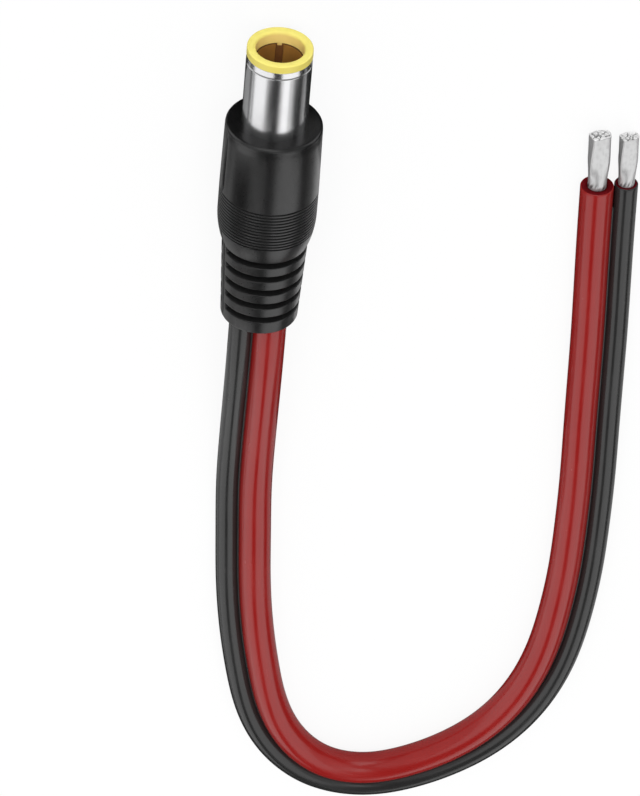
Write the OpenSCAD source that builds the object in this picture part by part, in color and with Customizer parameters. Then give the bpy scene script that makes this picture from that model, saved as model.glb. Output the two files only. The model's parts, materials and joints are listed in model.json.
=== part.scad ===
// Barrel power plug moulded onto a red and black twin lead with stripped ends, in millimetres.
// It lies on a level surface at z = 0. The plug's axis runs along Y, with its mouth toward -Y.
// The twin lead leaves toward +Y, turns back in a loop and ends beside the plug.

/* [Barrel] */
// Outside diameter of the metal barrel
barrel_d = 7.9; // [7.4:0.05:8.4]
// Wall of the metal barrel
barrel_wall = 0.5; // [0.4:0.05:0.6]
// Length of barrel that shows in front of the body
barrel_len = 10.1; // [8:0.1:13]
// Length of barrel held inside the body
barrel_root = 4; // [3:0.1:5]
// How much the barrel is turned down in radius where the body holds it
root_step = 0.2; // [0.16:0.01:0.25]
// How far the locking flange stands out from the barrel
flange_rim = 0.75; // [0.5:0.05:1]
// Thickness of the locking flange
flange_t = 1.2; // [0.8:0.1:1.6]
// Length of the lead-in taper at the barrel's front edge
nose_len = 0.8; // [0.5:0.1:1.2]
// How much the lead-in taper takes off the barrel's radius
nose_drop = 0.1; // [0.05:0.01:0.15]
// Width of the turned groove behind the lead-in taper
groove_w = 0.2; // [0.1:0.05:0.3]
// Depth of the turned groove
groove_depth = 0.1; // [0.05:0.01:0.15]

/* [Insulators] */
// How far the tip insulator stands out of the barrel
lip_len = 1.05; // [0.6:0.05:1.3]
// How much smaller in radius the lip is than the barrel
lip_step = 0; // [0:0.01:0.1]
// Radius of the lip's outer edge
lip_round = 0.2; // [0.1:0.05:0.25]
// Radius of the lip's inner edge, round the mouth
mouth_round = 0.2; // [0.1:0.05:0.6]
// How much wider in radius the mouth is than the inner contact's bore
mouth_step = 0.15; // [0.1:0.01:0.2]
// Depth of the inner contact's front edge below the lip
seat_depth = 1.65; // [1.2:0.05:2]
// Wall of the tip insulator between barrel and inner contact
insulator_wall = 0.4; // [0.3:0.05:0.5]
// Length of the bead that holds the centre pin
pin_hold = 2; // [1.5:0.1:3]
// Insulation left behind the centre pin
pin_floor = 0.5; // [0.3:0.1:0.8]

/* [Contacts] */
// Wall of the rolled inner contact
contact_wall = 0.3; // [0.2:0.05:0.4]
// Distance from the inner contact's tube to the plane of the body's front face
contact_setback = 0.5; // [0.4:0.1:1.5]
// Width of the seam groove along the inner contact's bore
seam_w = 0.9; // [0.4:0.1:1.2]
// Depth of the seam groove
seam_depth = 0.15; // [0.1:0.01:0.18]
// Length of the notch through the inner contact's rim where the seam starts
notch_len = 0.4; // [0.2:0.1:0.8]
// Diameter of the centre pin
pin_d = 0.9; // [0.7:0.05:1.2]
// Depth of the pin's tip below the lip
pin_recess = 2.6; // [0:0.1:3]
// Length of the pin's rounded point
pin_point = 0.2; // [0.1:0.05:0.3]
// Width of the solder tabs
tab_w = 1.8; // [1.4:0.1:2]
// Thickness of the solder tabs and of the sleeve lug
tab_t = 0.5; // [0.3:0.05:0.7]
// Length of the solder tabs behind the sleeve lug
tab_len = 5.5; // [4:0.1:7]
// Distance of the sleeve lug's straight edge from the plug's axis
lug_gap = 0.6; // [0.4:0.1:0.9]
// Thickness of solder over a conductor
solder_t = 0.3; // [0.2:0.05:0.4]
// Length of a solder joint
solder_len = 3.5; // [2.5:0.1:3.8]

/* [Body] */
// Diameter of the body at its front face
face_d = 11.7; // [11.2:0.1:12]
// Largest diameter of the body, over the grip rings
grip_d = 12; // [11.8:0.1:13]
// Length of the body from its front face to the end of the strain relief
body_len = 29; // [27:0.1:33]
// Radius of the front face's edge
face_round = 0.3; // [0.1:0.05:0.5]
// Distance of the first grip ring from the front face
grip_start = 9.6; // [8:0.1:10]
// Number of grip rings
ring_count = 12; // [8:1:13]
// Distance from one grip ring to the next
ring_pitch = 0.45; // [0.4:0.05:0.5]
// Depth of the valleys between grip rings
ring_depth = 0.14; // [0.08:0.01:0.2]
// Distance from the front face to where the body starts to round in
round_start = 13.2; // [12:0.1:14]
// Distance from the front face to where the strain relief starts
relief_start = 17.6; // [16.5:0.1:18.5]
// Wall of the strain relief round the leads at its free end
cuff_wall = 1.2; // [0.9:0.05:1.3]
// How much the strain relief grows in radius toward the body
relief_taper = 0.5; // [0.3:0.05:0.7]
// Radius of the strain relief's free edge
cuff_round = 0.25; // [0.15:0.05:0.9]
// Number of slots on each side of the strain relief
slot_count = 5; // [3:1:5]
// Distance from one slot to the next
slot_pitch = 2.18; // [1.8:0.01:2.2]
// Width of a slot
slot_w = 0.7; // [0.6:0.05:1]
// How far the front of each rib slopes back from its slot
rib_slope = 0.1; // [0.05:0.05:0.3]
// Rubber left between a slot's floor and the leads
slot_floor = 0.25; // [0.15:0.05:0.4]
// Width of the two spines that the slots stop at
spine_w = 1.4; // [1:0.1:2.4]
// Turn of the spines about the plug's axis, from level
spine_turn = 20; // [0:1:45]

/* [Leads] */
// Diameter of the red lead
red_d = 4.1; // [3.8:0.1:4.4]
// Diameter of the black lead
black_d = 2.9; // [2.6:0.1:3.2]
// Diameter of the red lead's conductor
red_core_d = 2.4; // [2:0.1:2.6]
// Diameter of the black lead's conductor
black_core_d = 2; // [1.7:0.1:2.1]
// Length of bare conductor at the red lead's free end
red_strip = 7.6; // [5:0.1:10]
// Length of bare conductor at the black lead's free end
black_strip = 6.8; // [5:0.1:10]
// Length of lead held inside the body
lead_in = 12; // [8:0.5:13]
// Growth of a bare conductor from its root to its tip
strand_flare = 1.16; // [1:0.01:1.3]
// Turn of the strands along a bare end, in degrees
strand_lay = 70; // [20:5:120]
// Number of strands round the outside of a bare end
strand_count = 9; // [7:1:12]

/* [Fits] */
// Radial clearance between pieces pushed into each other
push_gap = 0.02; // [0.01:0.005:0.03]
// Clearance between the two leads, and round a lead in the body
lead_gap = 0.05; // [0.02:0.01:0.1]

/* [Hidden] */
$fn = 64;
eps = 0.01;
arc_steps = 6;
tube_sides = 8;
strand_slices = 8;
strand_fn = 16;

// Radii worked out from the outside of the barrel inward
barrel_r = barrel_d / 2;
barrel_bore_r = barrel_r - barrel_wall;
contact_r = barrel_bore_r - insulator_wall;
contact_bore_r = contact_r - contact_wall;
mouth_r = contact_bore_r + mouth_step;
lip_r = barrel_r - lip_step;
mouth_edge = min(mouth_round, lip_r - mouth_r - lip_round);
root_r = barrel_r - root_step;
flange_r = barrel_r + flange_rim;

// Stations along the plug's axis, measured from the face of the lip
t_face = lip_len + barrel_len;
t_root = t_face + barrel_root;
t_contact_end = t_face - contact_setback;
t_spacer = t_contact_end + contact_wall;
contact_len = t_contact_end - seat_depth;
t_lug_back = t_root + tab_t;
t_tab_end = t_lug_back + tab_len;
t_solder = t_lug_back + (tab_len - solder_len) / 2;
plug_len = t_face + body_len;
t_leads = plug_len - lead_in;

// Where the leads pass through the body: side by side, centred on the axis
pair_w = red_d + black_d + lead_gap;
red_x = -(pair_w - red_d) / 2;
black_x = (pair_w - black_d) / 2;
relief_end_r = pair_w / 2 + cuff_wall;
relief_r = relief_end_r + relief_taper;
slot_floor_r = pair_w / 2 + lead_gap + slot_floor;
first_slot = relief_start + slot_w / 2;

// The plug rests on its grip rings
grip_r = grip_d / 2;
axis_z = grip_r;
mouth_y = -plug_len / 2;

// Route of the red lead's middle from where it leaves the body: sideways, backward, and height as a
// share of the plug's axis height, from 1 at the axis to 0 lying on the surface
route = [
    [0, 0, 1], [0, 8, 0.93], [0, 16, 0.62], [0, 24, 0.27], [-0.1, 32, 0.06], [-0.5, 40, 0],
    [-1, 48, 0], [-1.9, 56, 0], [-3.1, 63, 0], [-4.6, 69.1, 0], [-7.6, 75.2, 0], [-12.2, 79.1, 0],
    [-17.6, 79.9, 0], [-22.4, 78.5, 0], [-26.9, 76, 0], [-31, 72.6, 0], [-34.4, 68.3, 0],
    [-37, 63, 0], [-38.7, 57, 0], [-39.7, 50, 0], [-40.2, 43, 0], [-40.3, 36, 0], [-40.2, 28, 0],
    [-39.9, 20, 0], [-39.6, 12, 0], [-39.3, 4, 0], [-38.9, -4, 0], [-38.5, -12, 0], [-38.2, -19, 0]
];
stations = len(route);

function unit(v) = v / norm(v);

// Direction of travel along a list of points at point i
function heading(points, i) = unit(
    points[min(i + 1, len(points) - 1)] - points[max(i - 1, 0)]
);

// Level direction to the right of the way of travel
function right_of(points, i) = unit(cross(heading(points, i), [0, 0, 1]));

// The route in plan, for a lead that runs to the right of the red one by a given distance
function plan_points(aside) = let (flat = [for (p = route) [p.x, p.y, 0]]) [
    for (i = [0:stations - 1]) flat[i] + aside * right_of(flat, i)
];

// A lead's middle: a straight start inside the body, then the route at the lead's own height
function lead_path(radius, aside) = let (plan = plan_points(aside)) [
    for (i = [-1:stations - 1])
        let (
            at = plan[max(i, 0)],
            back = i < 0 ? lead_in : 0,
            share = route[max(i, 0)].z
        )
        [red_x + at.x, plug_len / 2 + at.y - back, radius + share * (axis_z - radius)]
];

function tube_ring(points, i, radius) =
    let (side = right_of(points, i), up = cross(side, heading(points, i)))
    [
        for (k = [0:tube_sides - 1])
            let (turn = k * 360 / tube_sides)
            points[i] + radius * (cos(turn) * side + sin(turn) * up)
    ];

// Solid tube of one radius along a list of points
module tube(points, radius) {
    rings = len(points);
    corners = [for (i = [0:rings - 1]) each tube_ring(points, i, radius)];
    walls = [
        for (i = [0:rings - 2], k = [0:tube_sides - 1])
            let (
                a = i * tube_sides + k,
                b = i * tube_sides + (k + 1) % tube_sides
            )
            each [[a, a + tube_sides, b], [b, a + tube_sides, b + tube_sides]]
    ];
    front = [for (k = [0:tube_sides - 1]) k];
    back = [for (k = [tube_sides - 1:-1:0]) (rings - 1) * tube_sides + k];
    polyhedron(points = corners, faces = concat([front], walls, [back]));
}

// Places a revolved or round child on the plug's axis, at a station, pointing away from the mouth
module on_axis(station, x = 0) {
    translate([x, mouth_y + station, axis_z])
        rotate([-90, 0, 0])
            children();
}

// Block across the plug: middle in x, top in height above the axis, from one station to another
module bar(x, top, width, thick, from, to) {
    translate([x - width / 2, mouth_y + from, axis_z + top - thick])
        cube([width, to - from, thick]);
}

// Quarter arc of points from angle a to angle b about a centre
function arc(cx, cy, radius, a, b) = [
    for (i = [0:arc_steps])
        let (turn = a + (b - a) * i / arc_steps)
        [cx + radius * cos(turn), cy + radius * sin(turn)]
];

// Radius of the body where it rounds in from the grip to the strain relief, on one large arc
round_len = relief_start - round_start;
round_drop = grip_r - relief_r;
round_radius = (round_len * round_len + round_drop * round_drop) / (2 * round_drop);
function body_r(s) = s <= round_start
    ? grip_r
    : grip_r - round_radius + sqrt(pow(round_radius, 2) - pow(s - round_start, 2));

// Outline of the body: rounded front edge, smooth flare, grip rings, rounded shoulder, strain relief
grip_end = grip_start + ring_count * ring_pitch;
body_outline = concat(
    [[0, 0]],
    arc(face_d / 2 - face_round, face_round, face_round, -90, 0),
    [[grip_r, grip_start - ring_pitch / 2], [grip_r - ring_depth, grip_start]],
    [
        for (i = [0:ring_count - 1], half = [0.5, 1])
            let (s = grip_start + (i + half) * ring_pitch)
            [body_r(s) - (half == 1 ? ring_depth : 0), s]
    ],
    [
        for (i = [1:arc_steps])
            let (s = grip_end + (relief_start - grip_end) * i / arc_steps)
            [body_r(s), s]
    ],
    arc(relief_end_r - cuff_round, body_len - cuff_round, cuff_round, 0, 90),
    [[0, body_len]]
);

// One pair of slots round the strain relief, which stop at the two spines and slope up to the next rib
module slot_pair(s) {
    reach = grip_r - slot_floor_r;
    slope = rib_slope * reach / (relief_r - slot_floor_r);
    difference() {
        translate([0, 0, s])
            rotate_extrude()
                polygon([
                    [slot_floor_r, -slot_w / 2],
                    [grip_r, -slot_w / 2],
                    [grip_r, slot_w / 2 + slope],
                    [slot_floor_r, slot_w / 2]
                ]);
        rotate([0, 0, -spine_turn])
            translate([-grip_d, -spine_w / 2, s - slot_w])
                cube([2 * grip_d, spine_w, 2 * slot_w + slope]);
    }
}

// Space that the barrel takes up in the body
module barrel_seat() {
    on_axis(t_face - eps)
        cylinder(r = root_r, h = barrel_root + eps);
    on_axis(t_root - flange_t)
        cylinder(r = flange_r, h = flange_t);
}

// Solder round a conductor, flat where it lies on its tab
module solder_block(x, core_d) {
    intersection() {
        on_axis(t_solder, x)
            cylinder(d = core_d + 2 * solder_t, h = solder_len);
        bar(x, core_d, 2 * core_d, 3 * core_d / 2 + push_gap, t_solder - eps, t_solder + solder_len + eps);
    }
}

// Bare conductor inside the body, from its solder joint to the cut end of its lead
module tail_rod(x, core_d, grow) {
    on_axis(t_solder - grow, x)
        cylinder(d = core_d + 2 * grow, h = t_leads - t_solder + grow);
}

module contact_tab() {
    bar(red_x, -red_core_d / 2 - push_gap, tab_w, tab_t, t_contact_end + contact_wall / 2, t_tab_end);
}

module lug_tab() {
    bar(black_x, -black_core_d / 2 - push_gap, tab_w, tab_t, t_root + tab_t / 2, t_tab_end);
}

module lug_plate() {
    intersection() {
        on_axis(t_root)
            cylinder(r = flange_r, h = tab_t);
        translate([lug_gap, mouth_y, axis_z - flange_r])
            cube([flange_r, plug_len, 2 * flange_r]);
    }
}

module overmould() {
    color("#1b1b1c")
        difference() {
            on_axis(t_face)
                difference() {
                    rotate_extrude()
                        polygon(body_outline);
                    for (i = [0:slot_count - 1])
                        slot_pair(first_slot + i * slot_pitch);
                }
            barrel_seat();
            lug_plate();
            lug_tab();
            contact_tab();
            solder_block(red_x, red_core_d);
            solder_block(black_x, black_core_d);
            tail_rod(red_x, red_core_d, push_gap);
            tail_rod(black_x, black_core_d, push_gap);
            on_axis(t_leads, red_x)
                cylinder(d = red_d + 2 * lead_gap, h = lead_in + eps);
            on_axis(t_leads, black_x)
                cylinder(d = black_d + 2 * lead_gap, h = lead_in + eps);
        }
}

// Nickel-plated barrel, turned from tube, with a flange that the body is moulded round
module outer_sleeve() {
    sleeve_len = t_root - lip_len;
    nose_r = barrel_r - nose_drop;
    groove_r = barrel_r - groove_depth;
    color("#c9cbcd")
        on_axis(lip_len)
            rotate_extrude()
                polygon([
                    [barrel_bore_r, 0],
                    [nose_r, 0],
                    [barrel_r, nose_len],
                    [groove_r, nose_len + groove_w / 2],
                    [barrel_r, nose_len + groove_w],
                    [barrel_r, barrel_len],
                    [root_r, barrel_len],
                    [root_r, sleeve_len - flange_t],
                    [flange_r, sleeve_len - flange_t],
                    [flange_r, sleeve_len],
                    [barrel_bore_r, sleeve_len]
                ]);
}

// Yellow bush: a lip in front of the barrel, and a tube inside it that holds the inner contact
module tip_insulator() {
    tube_r = barrel_bore_r - push_gap;
    color("#f2de72")
        on_axis(0)
            rotate_extrude()
                polygon(concat(
                    [[contact_r + push_gap, t_contact_end], [contact_r + push_gap, seat_depth]],
                    [[mouth_r, seat_depth]],
                    arc(mouth_r + mouth_edge, mouth_edge, mouth_edge, 180, 270),
                    arc(lip_r - lip_round, lip_round, lip_round, -90, 0),
                    [[lip_r, lip_len], [tube_r, lip_len], [tube_r, t_contact_end]]
                ));
}

// Brass contact rolled into a tube, with a seam groove, a notch in its rim, a closed end and a solder tab
module inner_contact() {
    color("#9c7434") {
        difference() {
            on_axis(seat_depth)
                difference() {
                    cylinder(r = contact_r, h = contact_len + contact_wall);
                    translate([0, 0, -eps])
                        cylinder(r = contact_bore_r, h = contact_len + eps);
                }
            intersection() {
                bar(0, -contact_bore_r / 2, seam_w, contact_r, seat_depth - eps, t_contact_end);
                on_axis(seat_depth - eps)
                    cylinder(r = contact_bore_r + seam_depth, h = contact_len + eps);
            }
            bar(0, -contact_bore_r / 2, seam_w, contact_r, seat_depth - eps, seat_depth + notch_len);
        }
        contact_tab();
    }
}

module centre_pin() {
    pin_r = pin_d / 2;
    pin_len = t_contact_end - pin_floor - pin_recess;
    color("#b08a52")
        on_axis(pin_recess)
            rotate_extrude()
                polygon([
                    [0, 0],
                    [pin_r / 2, 0],
                    [pin_r, pin_point],
                    [pin_r, pin_len],
                    [0, pin_len]
                ]);
}

// Bead at the bottom of the inner contact, with a blind hole for the centre pin
module pin_bead() {
    color("#2a2826")
        on_axis(t_contact_end - pin_hold)
            difference() {
                cylinder(r = contact_bore_r - push_gap, h = pin_hold);
                translate([0, 0, -eps])
                    cylinder(d = pin_d + 2 * push_gap, h = pin_hold - pin_floor + eps);
            }
}

// Disc behind the inner contact that keeps its tab clear of the barrel
module rear_spacer() {
    color("#e8e4d8")
        difference() {
            on_axis(t_spacer)
                cylinder(r = barrel_bore_r - push_gap, h = t_root - t_spacer);
            bar(
                red_x, -red_core_d / 2, tab_w + 2 * push_gap, tab_t + 2 * push_gap,
                t_spacer - eps, t_root + eps
            );
        }
}

// Half-round plate on the flange, with a solder tab
module sleeve_lug() {
    color("#b9b7b0") {
        lug_plate();
        lug_tab();
    }
}

module solder_joint(x, core_d) {
    difference() {
        solder_block(x, core_d);
        on_axis(t_solder - eps, x)
            cylinder(d = core_d, h = solder_len + 2 * eps);
    }
}

module red_solder() {
    color("#a9acb0")
        solder_joint(red_x, red_core_d);
}

module black_solder() {
    color("#a9acb0")
        solder_joint(black_x, black_core_d);
}

module red_tail() {
    color("#c8c9ca")
        tail_rod(red_x, red_core_d, 0);
}

module black_tail() {
    color("#c8c9ca")
        tail_rod(black_x, black_core_d, 0);
}

red_path = lead_path(red_d / 2, 0);
black_path = lead_path(black_d / 2, (red_d + black_d) / 2 + lead_gap);

module red_lead() {
    color("#8c2b2b")
        tube(red_path, red_d / 2);
}

module black_lead() {
    color("#303030")
        tube(black_path, black_d / 2);
}

// Tinned strands, twisted together, that stand out of a lead's cut end
module bare_end(path, core_d, strip) {
    strand_d = core_d * sin(180 / strand_count) / (1 + sin(180 / strand_count));
    last = len(path) - 1;
    way = heading(path, last);
    translate(path[last])
        rotate([0, 90, atan2(way.y, way.x)])
            linear_extrude(height = strip, twist = strand_lay, scale = strand_flare, slices = strand_slices)
                union() {
                    circle(d = core_d - strand_d, $fn = 2 * strand_count);
                    for (k = [0:strand_count - 1])
                        rotate(k * 360 / strand_count)
                            translate([(core_d - strand_d) / 2, 0])
                                circle(d = strand_d, $fn = strand_fn);
                }
}

module red_bare_end() {
    color("#d3d4d5")
        bare_end(red_path, red_core_d, red_strip);
}

module black_bare_end() {
    color("#d3d4d5")
        bare_end(black_path, black_core_d, black_strip);
}

overmould();
outer_sleeve();
tip_insulator();
inner_contact();
centre_pin();
pin_bead();
rear_spacer();
sleeve_lug();
red_solder();
black_solder();
red_tail();
black_tail();
red_lead();
black_lead();
red_bare_end();
black_bare_end();
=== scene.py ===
# %% [markdown]
# # A barrel power plug on a twin lead
# The real thing is a pigtail: a barrel plug moulded onto a red and black twin lead whose far ends
# are stripped and tinned. Its measured solids come in as a fixed frame. This lesson puts a finished
# skin over them. Every shape is worked out with numpy as whole arrays, and every finish is built
# from shader nodes.

# %% Load the frame
import json

import bpy
import numpy as np
from mathutils import Matrix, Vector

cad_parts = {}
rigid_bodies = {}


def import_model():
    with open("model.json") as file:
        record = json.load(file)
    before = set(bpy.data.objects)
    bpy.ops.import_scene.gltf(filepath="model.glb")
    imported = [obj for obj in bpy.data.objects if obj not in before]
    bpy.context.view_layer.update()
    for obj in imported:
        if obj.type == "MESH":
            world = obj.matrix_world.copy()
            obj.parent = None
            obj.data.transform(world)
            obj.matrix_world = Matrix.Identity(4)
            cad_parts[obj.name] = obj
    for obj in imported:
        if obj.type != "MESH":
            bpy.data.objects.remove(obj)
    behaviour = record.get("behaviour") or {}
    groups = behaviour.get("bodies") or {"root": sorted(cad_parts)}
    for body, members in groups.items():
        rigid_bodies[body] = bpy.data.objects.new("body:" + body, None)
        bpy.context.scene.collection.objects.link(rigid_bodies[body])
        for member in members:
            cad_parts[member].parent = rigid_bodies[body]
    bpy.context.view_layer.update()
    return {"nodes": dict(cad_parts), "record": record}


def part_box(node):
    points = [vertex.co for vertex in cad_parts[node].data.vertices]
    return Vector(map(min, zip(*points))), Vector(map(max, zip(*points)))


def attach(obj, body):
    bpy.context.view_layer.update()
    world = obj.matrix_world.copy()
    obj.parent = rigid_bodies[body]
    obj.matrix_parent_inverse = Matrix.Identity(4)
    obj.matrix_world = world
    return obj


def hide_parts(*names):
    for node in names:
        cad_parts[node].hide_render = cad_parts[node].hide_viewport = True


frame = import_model()
scene = bpy.context.scene
scene.view_settings.view_transform = "Standard"
MM = 0.001
print("frame nodes:", len(frame["nodes"]))

# %% [markdown]
# ## Where things are
# The plug is a turned shape, so each place on it is a radius and a station. A station is the
# distance along the plug's axis from the face of its yellow lip. Both are kept in millimetres. The
# frame gives the axis, the lip, the body's two ends and the barrel's radius, so nothing here is
# fitted by eye.

# %% Axis and main stations of the plug
body_low, body_high = (np.array(corner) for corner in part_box("overmould"))
lip_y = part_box("tip_insulator")[0].y
barrel_mount = next(mount for mount in frame["record"]["mounts"] if mount["name"] == "barrel")
MOUTH = np.array([0, lip_y, (body_low[2] + body_high[2]) / 2])
FACE_T = (body_low[1] - lip_y) / MM
REAR_T = (body_high[1] - lip_y) / MM
BARREL_R = barrel_mount["dims"]["r_mm"]
GRIP_R = (body_high[0] - body_low[0]) / 2 / MM
print(f"body: from {FACE_T:.1f} to {REAR_T:.1f} mm")
print(f"radii: barrel {BARREL_R} mm, grip {GRIP_R:.2f} mm")

# %% [markdown]
# ## Camera
# The photograph looks down on the plug from beyond its mouth, and the picture is turned half round,
# so that the mouth is at the top. A long lens keeps the two legs of the lead nearly parallel. The
# focal length is given in pixels of the picture, which is 640 pixels wide, and becomes millimetres
# of a 36 mm sensor.

# %% Camera
CAMERA_AT = (0.02472, -0.440245, 0.56675)
CAMERA_TURN, CAMERA_TILT = np.radians([4.0, 49.73])
FOCAL_PIXELS, PICTURE_W, SENSOR_W = 5950, 640, 36


def placed(at, axes):
    """The matrix that puts an object at a point, with its X, Y and Z along three directions."""
    return Matrix.Translation(at) @ Matrix(np.stack(axes).T).to_4x4()


right = np.array([np.cos(CAMERA_TURN), np.sin(CAMERA_TURN), 0])
level, rise = np.cos(CAMERA_TILT), np.sin(CAMERA_TILT)
back = np.array([right[1] * level, -right[0] * level, rise])
up = np.cross(back, right)
camera_data = bpy.data.cameras.new("camera")
camera_data.sensor_fit = "HORIZONTAL"
camera_data.sensor_width = SENSOR_W
camera_data.lens = FOCAL_PIXELS * SENSOR_W / PICTURE_W
camera = bpy.data.objects.new("camera", camera_data)
scene.collection.objects.link(camera)
camera.matrix_world = placed(CAMERA_AT, [-right, -up, back])
scene.camera = camera
print(f"camera: lens {camera_data.lens:.1f} mm")

# %% [markdown]
# ## From arrays to meshes
# A closed tube is a grid of points: rows along it, columns round it, and a fan over each end. A
# ring has no ends, because its last row joins its first. Faces come from shifted copies of one
# array of point numbers. The sign of the volume that they enclose tells whether they point outward,
# so no face has to be checked by hand.

# %% Closed tubes and rings of points
def enclosed_volume(points, faces):
    """A sixth of the sum of a . (b x c) over the triangles from each face's first corner."""
    corner = points[faces]
    middle, last = corner[:, 1:-1], corner[:, 2:]
    return np.einsum("ik,ijk->", corner[:, 0], np.cross(middle, last)) / 6


def with_ends(grid):
    """A grid's values in one list, and after them the mean of its first row and of its last."""
    ends = [grid[0].mean(axis=0), grid[-1].mean(axis=0)]
    return np.concatenate([grid.reshape(-1, *grid.shape[2:]), ends])


def closed_surface(grid, ring=False):
    """Points, quads and end triangles of a tube or ring. The mean of an end row is its middle."""
    rows, columns = grid.shape[:2]
    number = np.arange(rows * columns).reshape(rows, columns)
    beside = np.roll(number, -1, axis=1)
    ahead, ahead_beside = np.roll(number, -1, axis=0), np.roll(beside, -1, axis=0)
    quads = np.stack([number, beside, ahead_beside, ahead], axis=-1)
    points = grid.reshape(-1, 3)
    fans = np.zeros((0, 3), int)
    if not ring:
        quads = quads[:-1]
        points = with_ends(grid)
        tip = np.full(columns, rows * columns)
        start = np.stack([beside[0], number[0], tip], axis=-1)
        fans = np.concatenate([start, np.stack([number[-1], beside[-1], tip + 1], axis=-1)])
    quads = quads.reshape(-1, 4)
    if enclosed_volume(points, quads) + enclosed_volume(points, fans) < 0:
        quads, fans = quads[:, ::-1], fans[:, ::-1]
    return points, quads, fans


# %% Pieces that stand for the frame's solids
def link_mesh(name, points, faces, finish):
    """An object in the scene, with a mesh of these points and faces and one finish."""
    mesh = bpy.data.meshes.new(name)
    mesh.from_pydata(points, [], faces)
    mesh.materials.append(finish)
    thing = bpy.data.objects.new(name, mesh)
    scene.collection.objects.link(thing)
    return thing


def add_piece(name, node, slot, surfaces, finish, **marks):
    """One smooth mesh of closed surfaces in place of a solid, with named values on its points."""
    points, faces, first = [], [], 0
    for surface_points, quads, fans in surfaces:
        points.append(surface_points)
        faces += (quads + first).tolist() + (fans + first).tolist()
        first += len(surface_points)
    piece = link_mesh(name, np.concatenate(points), faces, finish)
    for label, values in marks.items():
        kind, field = ("FLOAT", "value") if values.ndim == 1 else ("FLOAT_VECTOR", "vector")
        attribute = piece.data.attributes.new(label, kind, "POINT")
        attribute.data.foreach_set(field, np.ascontiguousarray(values, np.float32).ravel())
    piece.data.shade_smooth()
    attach(piece, "root")
    if node:
        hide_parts(node)
    print(f"{name}: {first} points, {len(faces)} faces")
    return piece


# %% [markdown]
# ## Shader helpers
# Each finish is a Principled shader with a few nodes in front of it. Short helpers place those
# nodes, so that a finish reads like a recipe and every socket is filled by its name.

# %% Placing nodes
def plug_in(tree, socket, value):
    """Links an output to the socket, or sets the socket's own value."""
    if isinstance(value, bpy.types.NodeSocket):
        tree.links.new(value, socket)
    else:
        socket.default_value = value


def fill(tree, node, **inputs):
    """Puts values or links on a node's inputs, named by keyword."""
    for label, value in inputs.items():
        plug_in(tree, node.inputs[label.replace("_", " ")], value)


def add_node(tree, kind, settings=(), **inputs):
    """A node with its settings, and with values or links on its inputs."""
    node = tree.nodes.new(kind)
    for field, value in dict(settings).items():
        setattr(node, field, value)
    fill(tree, node, **inputs)
    return node


def new_finish(name, **inputs):
    """A material, its node tree and its Principled shader, with plain values on its inputs."""
    material = bpy.data.materials.new(name)
    material.use_nodes = True
    shader = material.node_tree.nodes["Principled BSDF"]
    fill(material.node_tree, shader, **inputs)
    return material, material.node_tree, shader


# %% Values, colours and normals
# Numbers of a Mix node's sockets for colours
MIX_SHARE, MIX_LOW, MIX_HIGH, MIX_COLOUR = 0, 6, 7, 2


def combine(tree, operation, a, b):
    """One arithmetic step on two values."""
    node = add_node(tree, "ShaderNodeMath", {"operation": operation})
    plug_in(tree, node.inputs[0], a)
    plug_in(tree, node.inputs[1], b)
    return node.outputs[0]


def grey(level):
    """A colour with the same red, green and blue."""
    return (level, level, level)


def between(tree, share, low, high):
    """Colour that goes from low to high with the share."""
    node = add_node(tree, "ShaderNodeMix", {"data_type": "RGBA"})
    plug_in(tree, node.inputs[MIX_SHARE], share)
    plug_in(tree, node.inputs[MIX_LOW], (*low, 1) if isinstance(low, tuple) else low)
    plug_in(tree, node.inputs[MIX_HIGH], (*high, 1))
    return node.outputs[MIX_COLOUR]


def spread(tree, value, low, high, to_low=0.0, to_high=1.0):
    """Stretches a value's range from low and high to new ends, and keeps it between them."""
    ends = {"From_Min": low, "From_Max": high, "To_Min": to_low, "To_Max": to_high}
    return add_node(tree, "ShaderNodeMapRange", Value=value, **ends).outputs[0]


def noise(tree, at, scale, detail):
    """Cloudy values over a place, with smaller clouds in them as the detail grows."""
    return add_node(tree, "ShaderNodeTexNoise", Vector=at, Scale=scale, Detail=detail).outputs[0]


def place(tree):
    """Object coordinates, which are the frame's own metres."""
    return tree.nodes.new("ShaderNodeTexCoord").outputs["Object"]


def mark(tree, label, output="Fac"):
    """A named value from the piece's points."""
    return add_node(tree, "ShaderNodeAttribute", {"attribute_name": label}).outputs[output]


def dress(tree, shader, colour, gloss, height, depth):
    """Fills colour and roughness, and bends the normal by a height with its depth in metres."""
    bump = add_node(tree, "ShaderNodeBump", Height=height, Distance=depth)
    fill(tree, shader, Base_Color=colour, Roughness=gloss, Normal=bump.outputs[0])


# %% [markdown]
# Effects that several finishes share are node groups: moulded grain for plastics, turning lines for
# metals, and broken-up patches for age and handling. A group puts out only masks and heights. The
# shader itself stays in its material, where each finish gives the group its own scales.

# %% Shared effects
def new_group(name, inputs, outputs):
    """An empty node group from a place and numbers to numbers, with its inputs and its end node."""
    group = bpy.data.node_groups.new(name, "ShaderNodeTree")
    group.interface.new_socket("Place", in_out="INPUT", socket_type="NodeSocketVector")
    for label, value in inputs.items():
        socket = group.interface.new_socket(label, in_out="INPUT", socket_type="NodeSocketFloat")
        socket.default_value = value
    for label in outputs:
        group.interface.new_socket(label, in_out="OUTPUT", socket_type="NodeSocketFloat")
    return group, group.nodes.new("NodeGroupInput").outputs, group.nodes.new("NodeGroupOutput")


def use_group(tree, group, **inputs):
    """The outputs of a group placed in a material."""
    return add_node(tree, "ShaderNodeGroup", {"node_tree": group}, **inputs).outputs


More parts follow.
